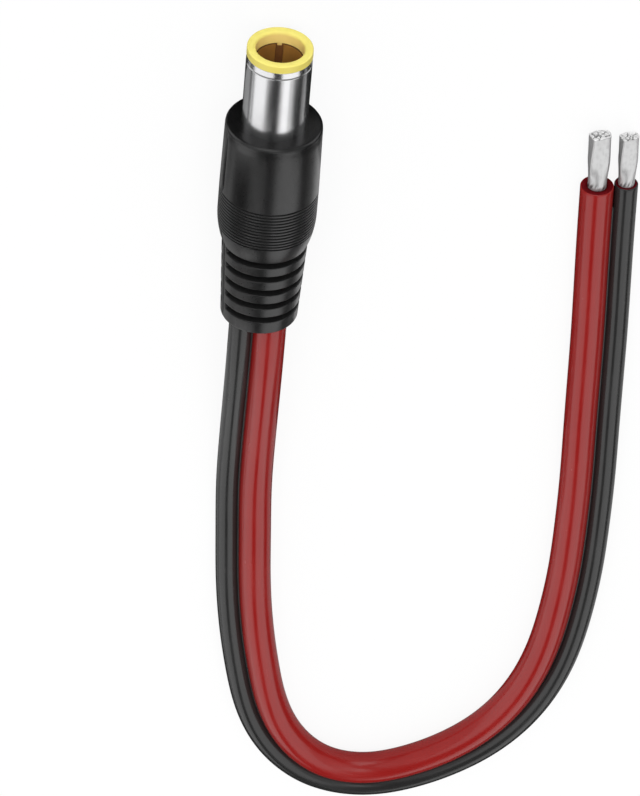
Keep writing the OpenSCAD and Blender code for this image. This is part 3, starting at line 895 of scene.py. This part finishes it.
# %% Pin and bead
PIN_R, PIN_AXIS_R = 0.45, 0.02
PIN_TIP_T, PIN_POINT = 2.6, 0.2
PIN_END_T, BEAD_T = CONTACT_END_T - 0.5, CONTACT_END_T - 2
pin_finish = turned_metal("pin brass", (0.62, 0.43, 0.22), (0.5, 0.33, 0.16), 0.25, 0.001 * MM)
pin_solid = turned_solid([
    (PIN_AXIS_R, PIN_TIP_T, 0), (PIN_R / 2, PIN_TIP_T, 0.1), (PIN_R, PIN_TIP_T + PIN_POINT, 0.1),
    (PIN_R, PIN_END_T, 0.03), (PIN_AXIS_R, PIN_END_T, 0),
])
add_piece("pin", "centre_pin", "brass_contact", [pin_solid], pin_finish)
bead_finish = plastic(
    "bead plastic", (0.03, 0.026, 0.022), (0.045, 0.038, 0.03), 0.5, 0.006 * MM,
    fine=8000.0, broad=900.0,
)
bead_r, bead_hole_r = CONTACT_BORE_R - PUSH_GAP, PIN_R + PUSH_GAP
bead_solid = turned_solid([
    (AXIS_R, PIN_END_T, 0), (bead_hole_r, PIN_END_T, 0.02), (bead_hole_r, BEAD_T, 0.04),
    (bead_r, BEAD_T, 0.05), (bead_r, CONTACT_END_T, 0.05), (AXIS_R, CONTACT_END_T, 0),
])
add_piece("bead", "pin_bead", "dark_bead", [bead_solid], bead_finish)

# %% [markdown]
# ## Moulded body
# The body is soft black plastic, moulded in one shot round the barrel and the leads. From the front
# it has a smooth flare, fine grip rings, a rounded shoulder and a strain relief whose slots let it
# bend. The slots stop at two spines where the halves of the mould met, and a fine line shows there.
# It is one surface: a radius over the distance from the front face and the angle, with the rings
# and slots taken off it by formula.

# %% Radius of the plain body
BODY_LEN = REAR_T - FACE_T
FACE_R = 5.85
RING_START, RING_PITCH, RING_COUNT, RING_DEPTH = 9.6, 0.45, 12, 0.2
RING_FLOOR, RING_EDGE = 0.12, 0.28
RING_END = RING_START + RING_COUNT * RING_PITCH
FIRST_CREST, LAST_CREST = RING_START - RING_PITCH / 2, RING_END + RING_PITCH / 2
ROUND_START, RELIEF_START = 13.2, 17.6
CUFF_ROUND, CUFF_WALL, RELIEF_TAPER = 0.25, 1.2, 0.5
PAIR_W = (RED_D + BLACK_D + LEAD_GAP) / MM
RELIEF_END_R = PAIR_W / 2 + CUFF_WALL
RELIEF_R = RELIEF_END_R + RELIEF_TAPER


def smooth_radius(s):
    """Body without rings and slots: a slight flare to the first ring, level to the shoulder, one
    large arc in to the relief, a straight taper and a round cuff."""
    length, drop = RELIEF_START - ROUND_START, GRIP_R - RELIEF_R
    arc = (length**2 + drop**2) / (2 * drop)
    shoulder = GRIP_R - arc + np.sqrt(arc**2 - np.clip(s - ROUND_START, 0, length) ** 2)
    cuff_start = BODY_LEN - CUFF_ROUND
    taper = RELIEF_TAPER * np.clip((s - RELIEF_START) / (cuff_start - RELIEF_START), 0, 1)
    past = np.clip(s - cuff_start, 0, CUFF_ROUND)
    cuff = CUFF_ROUND - np.sqrt(np.maximum(CUFF_ROUND**2 - past**2, 0))
    flare = (GRIP_R - FACE_R) * (1 - np.clip(s / FIRST_CREST, 0, 1))
    return shoulder - flare - taper - cuff


def ringed_radius(s):
    """Body without slots: the grooves between the rings are steep steps down and up again."""
    turn = (s - RING_START) / RING_PITCH
    groove = 1 - smooth_step(RING_FLOOR, RING_EDGE, np.abs(turn - np.round(turn)))
    return smooth_radius(s) - RING_DEPTH * groove * ((s > FIRST_CREST) & (s < LAST_CREST))


# %% Slots, spines and mould lines of the body
SLOT_COUNT, SLOT_PITCH, SLOT_W = 5, 2.18, 0.7
SLOT_FLOOR_R = PAIR_W / 2 + LEAD_GAP / MM + 0.25
SLOT_EDGE, RIB_SLOPE = 0.05, 0.1
SPINE_W, SPINE_EDGE, SPINE_TURN = 1.4, 0.1, np.radians(20)
LINE_DEPTH, LINE_W = 0.34, 0.24
LINE_START, LINE_FULL, LINE_END = 0.8, 1.8, BODY_LEN - 0.6
slot_middles = RELIEF_START + SLOT_W / 2 + SLOT_PITCH * np.arange(SLOT_COUNT)


def slot_share(s, off_spine):
    """1 on a slot's floor, 0 on ribs and spines. A rib's rear edge is sharp, its front round."""
    nearest = np.abs(s[..., None] - slot_middles).argmin(axis=-1)
    off = s - slot_middles[nearest]
    rear = smooth_step(-SLOT_W / 2 - SLOT_EDGE, -SLOT_W / 2 + SLOT_EDGE, off)
    front = 1 - smooth_step(SLOT_W / 2 - SLOT_EDGE, SLOT_W / 2 + RIB_SLOPE + SLOT_EDGE, off)
    return rear * front * smooth_step(SPINE_W / 2 - SPINE_EDGE, SPINE_W / 2 + SPINE_EDGE, off_spine)


def body_radius(s, angle):
    """Ringed radius, less the slots, less a fine groove along the two mould lines."""
    radius = ringed_radius(s)
    off_spine = np.abs(radius * np.sin(angle - SPINE_TURN))
    off_rings = (s < FIRST_CREST) | (s > LAST_CREST)
    along = smooth_step(LINE_START, LINE_FULL, s) * (s < LINE_END) * off_rings
    line = LINE_DEPTH * np.exp(-((off_spine / LINE_W) ** 2)) * along
    return radius - (radius - SLOT_FLOOR_R) * slot_share(s, off_spine) - line


# %% Rows and columns of the body
# Rows stand close where the radius changes fast: at the rings, and at the edges of slots
ring_steps = np.array([
    -0.5, -0.4, -0.29, -0.25, -0.21, -0.17, -0.12, 0, 0.12, 0.17, 0.21, 0.25, 0.29, 0.4,
])
ring_rows = (RING_START + RING_PITCH * (np.arange(RING_COUNT + 1)[:, None] + ring_steps)).ravel()
rear_edge = -SLOT_W / 2 + np.linspace(-SLOT_EDGE, SLOT_EDGE, 7)
front_edge = SLOT_W / 2 + np.append(np.linspace(-SLOT_EDGE, RIB_SLOPE + SLOT_EDGE, 10), 0.3)
slot_steps = np.concatenate([[-1, -0.8, -0.5], rear_edge, [-0.1, 0.1], front_edge])
slot_rows = (slot_middles[:, None] + slot_steps).ravel()
FRONT_END, SIDE_START = 0.58, 0.6
cuff_rows = BODY_LEN - CUFF_ROUND * (1 - np.sin(np.linspace(0, np.pi / 2, 9)))
flare_rows = np.linspace(SIDE_START, RING_START, 10)
shoulder_rows = np.linspace(RING_END, RELIEF_START, 18)
all_rows = np.concatenate([flare_rows, ring_rows, shoulder_rows, slot_rows, cuff_rows])
side_rows = np.unique(np.round(all_rows, 4))
spine_half = np.arcsin(SPINE_W / 2 / RELIEF_END_R)
spine_steps = np.concatenate([spine_half + np.linspace(-0.03, 0.05, 7), np.linspace(0, 0.09, 9)])
near_spines = SPINE_TURN + np.concatenate([-spine_steps, spine_steps]) + np.array([[0], [np.pi]])
columns = np.concatenate([full_turn(180), near_spines.ravel() % (2 * np.pi)])
columns = np.unique(np.round(columns, 5))
print(f"body: {len(side_rows)} rows of {len(columns)} columns along its side")


# %% Body surface
def lead_hole(angle):
    """Outline of the hole for both leads, from the waist between them: along each direction it is
    the further of the two circles, c . u + sqrt((c . u)^2 - c^2 + r^2), with c a circle's middle as
    seen from the waist."""
    radii = np.array([RED_D, BLACK_D]) / MM / 2 + LEAD_GAP / MM
    middles = np.array([RED_X, BLACK_X]) / MM
    apart = middles[1] - middles[0]
    waist = middles[0] + (apart**2 + radii[0] ** 2 - radii[1] ** 2) / (2 * apart)
    ahead = (middles - waist) * np.cos(angle)[:, None]
    reach = (ahead + np.sqrt(ahead**2 - (middles - waist) ** 2 + radii**2)).max(axis=1)
    return np.column_stack([waist + reach * np.cos(angle), reach * np.sin(angle)])


FACE_ROUND, HOLE_ROUND = 0.45, 0.08
socket_r, throat_r = FLANGE_R + PUSH_GAP, ROOT_R + PUSH_GAP
socket_t = ROOT_DEPTH - FLANGE_LEN
front_profile = rounded([
    (AXIS_R, ROOT_DEPTH, 0), (socket_r, ROOT_DEPTH, 0.02), (socket_r, socket_t, 0.02),
    (throat_r, socket_t, 0.02), (throat_r, 0, 0.04), (FACE_R, 0, FACE_ROUND),
    (FACE_R, FRONT_END, 0),
])
front = spun(front_profile + [0, FACE_T], columns)
side_s, side_angle = np.meshgrid(side_rows, columns, indexing="ij")
side_r = body_radius(side_s, side_angle)
side = on_plug(side_r * np.cos(side_angle), FACE_T + side_s, side_r * np.sin(side_angle))
hole = lead_hole(columns)
rear_rim = (side[-1][:, [0, 2]] - MOUTH[[0, 2]]) / MM
# Rows from the rim to the hole and down it: share of the way from the hole to the rim, and depth
rear_share = np.array([0.5, HOLE_ROUND, HOLE_ROUND / 3, 0, 0, 0])[:, None, None]
rear_depth = np.array([0, 0, HOLE_ROUND / 3, HOLE_ROUND, 2, LEAD_IN / MM])[:, None]
rear_plan = hole + rear_share * (rear_rim - hole)
rear = on_plug(rear_plan[..., 0], REAR_T - rear_depth, rear_plan[..., 1])
body_grid = np.concatenate([front, side, rear])
sunk = 1 - np.clip((smooth_radius(side_s) - side_r) / RING_DEPTH, 0, 1)
crest = np.concatenate([np.ones(front.shape[:2]), sunk, np.ones(rear.shape[:2])])
print(f"body surface: {len(front)} front, {len(side)} side and {len(rear)} rear rows")

# %% [markdown]
# The moulding is nearly black, with a satin skin that handling has rubbed in patches. Fine dust
# stays in the slots and between the rings, so the mesh carries a mark for points that stand up.

# %% Black moulding finish and body
BLACK, BLACK_TONE = (0.003, 0.003, 0.0031), (0.0045, 0.0045, 0.0046)
RUBBED, DUST = (0.006, 0.006, 0.0062), grey(0.012)
moulding_finish, tree, shader = new_finish("black moulding", Specular_IOR_Level=0.7)
at = place(tree)
grain = use_group(tree, grain_group, Place=at, Fine=7000.0, Broad=300.0)
patches = use_group(tree, patch_group, Place=at, Size=700.0, Cover=0.5)
rubbed = between(tree, patches["Mask"], between(tree, grain["Tone"], BLACK, BLACK_TONE), RUBBED)
dusty = combine(tree, "SUBTRACT", 1.0, mark(tree, "crest"))
gloss = spread(tree, grain["Height"], 0.3, 0.7, 0.27, 0.35)
dress(tree, shader, between(tree, dusty, rubbed, DUST), gloss, grain["Height"], 0.003 * MM)
body_skin, crest_mark = closed_surface(body_grid), with_ends(crest)
add_piece(
    "moulded_body", "overmould", "black_moulding", [body_skin], moulding_finish, crest=crest_mark
)

# %% [markdown]
# ## Pieces inside the body
# Spacer, lug, solder joints and conductor tails sit inside the moulding and stay as the frame's own
# solids. They still get real finishes, because another scene may open the part or cut through it.

# %% Inner finishes
spacer_finish = plastic(
    "spacer plastic", (0.72, 0.69, 0.62), (0.78, 0.75, 0.68), 0.45, 0.005 * MM,
    fine=8000.0, broad=400.0,
)
solder_finish = turned_metal("solder", (0.62, 0.63, 0.64), grey(0.5), 0.35, 0.004 * MM)
tail_finish = turned_metal("tinned copper", grey(0.7), (0.6, 0.5, 0.42), 0.32, 0.003 * MM)
inner_finishes = {
    "rear_spacer": spacer_finish, "sleeve_lug": brass_finish, "red_solder": solder_finish,
    "black_solder": solder_finish, "red_tail": tail_finish, "black_tail": tail_finish,
}
for node, finish in inner_finishes.items():
    frame["nodes"][node].data.materials.clear()
    frame["nodes"][node].data.materials.append(finish)
print("inner pieces:", ", ".join(inner_finishes))

# %% [markdown]
# ## Table
# The picture has a white ground. More light on the plug would bleach its colours, so the table's
# own material glows white for rays from the camera and from reflections, and for all other rays it
# is plain white board. A small share of board stays in the mix, and that takes the shadow.

# %% Table
def flat_sheet(name, low, high, finish):
    """A rectangle between two opposite corners that isn't part of the object. Two of its edges run
    along Y, and it lies, leans or stands as the corners' heights say."""
    (x0, y0, z0), (x1, y1, z1) = low, high
    corners = [(x0, y0, z0), (x1, y0, z1), (x1, y1, z1), (x0, y1, z0)]
    sheet = link_mesh(name, corners, [(0, 1, 2, 3)], finish)
    return sheet


def seen_share(tree, share):
    """The share for rays from the camera, off gloss and through glass, and nothing for others."""
    path = tree.nodes.new("ShaderNodeLightPath").outputs
    seen = combine(tree, "MAXIMUM", path["Is Camera Ray"], path["Is Glossy Ray"])
    seen = combine(tree, "MAXIMUM", seen, path["Is Transmission Ray"])
    return combine(tree, "MULTIPLY", seen, share)


def dull_board(name, level, rough=1.0):
    """Board of one grey without any gloss."""
    return new_finish(name, Base_Color=(*grey(level), 1), Roughness=rough, Specular_IOR_Level=0.0)


WHITE, TABLE_GLOW, TABLE_HALF = (1, 1, 1, 1), 0.9, 3
table_finish, tree, board = dull_board("white table", 0.9, rough=0.9)
glow = add_node(tree, "ShaderNodeEmission", Color=WHITE, Strength=1.0)
lift = add_node(tree, "ShaderNodeMixShader", Fac=seen_share(tree, TABLE_GLOW))
plug_in(tree, lift.inputs[1], board.outputs[0])
plug_in(tree, lift.inputs[2], glow.outputs[0])
fill(tree, tree.nodes["Material Output"], Surface=lift.outputs[0])
flat_sheet("table", (-TABLE_HALF, -TABLE_HALF, 0), (TABLE_HALF, TABLE_HALF, 0), table_finish)
print(f"table: {2 * TABLE_HALF} m square")

# %% [markdown]
# ## What the metal sees
# Polished metal shows what is round it, so in a studio its dark bands are reflections of dark cloth
# and cards. A hood of dark cloth closes the set, dark and grey cards lie on the table, and flags,
# which are small cards close to the plug, each tone one band of the barrel, the body or the relief.
# Two lit cards carry the light on toward the mouth's side, so that the barrel is bright from the
# sides too. Reflections alone see these, so they take no light off the table and throw no shadow.

# %% Dark hood
HOOD_R, HOOD_LOW, HOOD_HIGH, HOOD_STEPS = 0.9, -1.0, 1.6, 25


def only_reflected(thing):
    """Hides an object from all rays but those from glossy surfaces."""
    for rays in ("camera", "diffuse", "transmission", "shadow"):
        setattr(thing, f"visible_{rays}", False)


dark_cloth, _, _ = dull_board("dark cloth", 0.02)
arch = np.linspace(0, np.pi, HOOD_STEPS)
hood_points = np.concatenate([
    np.column_stack([HOOD_R * np.cos(arch), np.full(HOOD_STEPS, y), HOOD_R * np.sin(arch)])
    for y in (HOOD_LOW, HOOD_HIGH)
])
number = np.arange(2 * HOOD_STEPS).reshape(2, HOOD_STEPS)
hood_sides = np.stack([number[0, :-1], number[0, 1:], number[1, 1:], number[1, :-1]], axis=-1)
hood = link_mesh("hood", hood_points, hood_sides.tolist() + number.tolist(), dark_cloth)
only_reflected(hood)
print("hood:", len(hood_points), "points")

# %% Cards and flags
# Low corner and high corner of each card, in millimetres, and its grey
CARDS = [
    (-850, -9, 0.05, 850, 1500, 0.05, 0.02), (-13, -60, 0.05, 13, -9, 0.05, 0.02),
    (-22, -12, 0.05, 22, -9, 0.05, 0.02), (-30, -2, 0.1, -19, 45, 0.1, 0.35),
    (-30, -15, 0.1, -30, 60, 6, 0.3), (-19, 2, 0.1, -8, 30, 0.1, 0.9),
    (7, -11, 0.1, 22, -0.5, 0.1, 0.3), (7, -0.5, 0.1, 22, 32, 0.1, 0.4),
    (22, -8, 0.1, 60, 15.5, 0.1, 0.08), (22, 15.5, 0.1, 60, 115, 0.1, 0.5),
    (60, 20, 0.1, 120, 110, 0.1, 0.6), (5, 32, 0.1, 22, 115, 0.1, 0.5),
    (-34, 45, 0.1, -6, 105, 0.1, 0.4), (-90, -15, 0.1, -46, 100, 0.1, 0.5),
    (-9, -18.5, 0.1, -1.5, -12.5, 0.1, 0.32), (-12, -3, 0.1, -8.5, 2, 0.1, 0.5),
]
# For each stretch of the plug from one Y to another: the flags' angles about its axis, from and to,
# and greys. Angles go from straight up toward +X.
FLAGS = {
    (-8, 3): [
        (7, 17, 0.03), (17, 25, 0.1), (25, 32, 0.45), (32, 37, 0.95), (-9, -4, 0.2), (-17, -9, 0.9),
        (-50, -38, 0.95), (-57, -50, 0.4), (-72, -57, 0.06),
    ],
    (3, 20.4): [(10, 41, 0.85), (41, 78, 0.015)],
    (20.4, 33): [(8, 26.6, 0.06), (26.6, 42.6, 0.45), (42.6, 80, 0.75)],
}
FLAG_R = 20


def corner_at(angle, y, radius):
    """Point at an angle about the plug's axis and a distance from it, in millimetres."""
    turn = np.radians(angle)
    return radius * np.sin(turn), y, MOUTH[2] / MM + radius * np.cos(turn)


flag_cards = [
    (*corner_at(low, start, FLAG_R), *corner_at(high, end, FLAG_R), level)
    for (start, end), flags in FLAGS.items()
    for low, high, level in flags
]
for i, card in enumerate(CARDS + flag_cards):
    card_finish, _, _ = dull_board(f"card cloth {i}", card[-1])
    low, high = np.array(card[:3]) * MM, np.array(card[3:6]) * MM
    only_reflected(flat_sheet(f"card_{i}", low, high, card_finish))
print(f"cards: {len(CARDS)} on the table and {len(flag_cards)} flags")

# %% Lit cards
# Angles about the plug's axis that each band of light fills, and its brightness
BANDS = {"left band": (16, 88, 1.14), "right band": (-70, -11, 1.22)}
LIT_R, LIT_START, LIT_END, LIT_GLOW = 550, -500, 40, 0.6
lit_cloth, tree, _ = new_finish("lit cloth")
lit = add_node(tree, "ShaderNodeEmission", Color=WHITE, Strength=LIT_GLOW)
fill(tree, tree.nodes["Material Output"], Surface=lit.outputs[0])
for i, (low, high, _) in enumerate(BANDS.values()):
    ends = np.array([corner_at(low, LIT_START, LIT_R), corner_at(high, LIT_END, LIT_R)]) * MM
    only_reflected(flat_sheet(f"lit_card_{i}", *ends, lit_cloth))
print("lit cards:", len(BANDS))

# %% [markdown]
# ## Light
# Two long soft panels behind the plug, with a dark gap between them, give the barrel its bright and
# dark bands. Softer panels on the camera's side fill the faces that look at it. The largest of
# these, the key, is left out of reflections, so that black plastic stays black. A pale sky lifts
# the shadows, and is white where it is seen.

# %% Light panels and sky
BAND_Y, BAND_LEN, BAND_AWAY = 0.68, 1.25, 0.45
SKY_LIGHT = 0.25


def light_panel(name, centre, towards, size, radiance):
    """A soft panel that faces a point. Its power is pi times its area times its brightness."""
    lamp = bpy.data.lights.new(name, "AREA")
    lamp.shape = "RECTANGLE"
    lamp.size, lamp.size_y = size
    lamp.energy = np.pi * size[0] * size[1] * radiance
    panel = bpy.data.objects.new(name, lamp)
    scene.collection.objects.link(panel)
    shine = unit(np.subtract(towards, centre))
    across = unit(np.cross([0, 1, 0], -shine))
    panel.matrix_world = placed(centre, [across, np.cross(-shine, across), -shine])
    panel.visible_camera = False
    return panel


def band_panel(name, low, high, radiance):
    """A panel behind the plug that fills the angles from low to high about its axis: square to the
    middle angle, and as wide as twice its distance times the tangent of half the angle."""
    middle, half = np.radians((low + high) / 2), np.radians((high - low) / 2)
    centre = (BAND_AWAY * np.sin(middle), BAND_Y, BAND_AWAY * np.cos(middle))
    light_panel(name, centre, (0, BAND_Y, 0), (2 * BAND_AWAY * np.tan(half), BAND_LEN), radiance)


for name, band in BANDS.items():
    band_panel(name, *band)
light_panel("front fill", (0.1, -0.78, 0.24), (-0.02, 0.02, 0), (0.6, 0.42), 1.6)
light_panel("overhead", (-0.2, -0.18, 0.7), (-0.1, -0.1, 0), (0.5, 0.34), 1.4)
key = light_panel("key", (0.05, -0.5, 0.66), (-0.02, 0.02, 0), (0.7, 0.7), 2.6)
key.visible_glossy = False
scene.world = bpy.data.worlds.new("studio")
scene.world.use_nodes = True
tree = scene.world.node_tree
strength = combine(tree, "ADD", seen_share(tree, 1 - SKY_LIGHT), SKY_LIGHT)
fill(tree, tree.nodes["Background"], Color=WHITE, Strength=strength)
print("light: five panels and a pale sky")
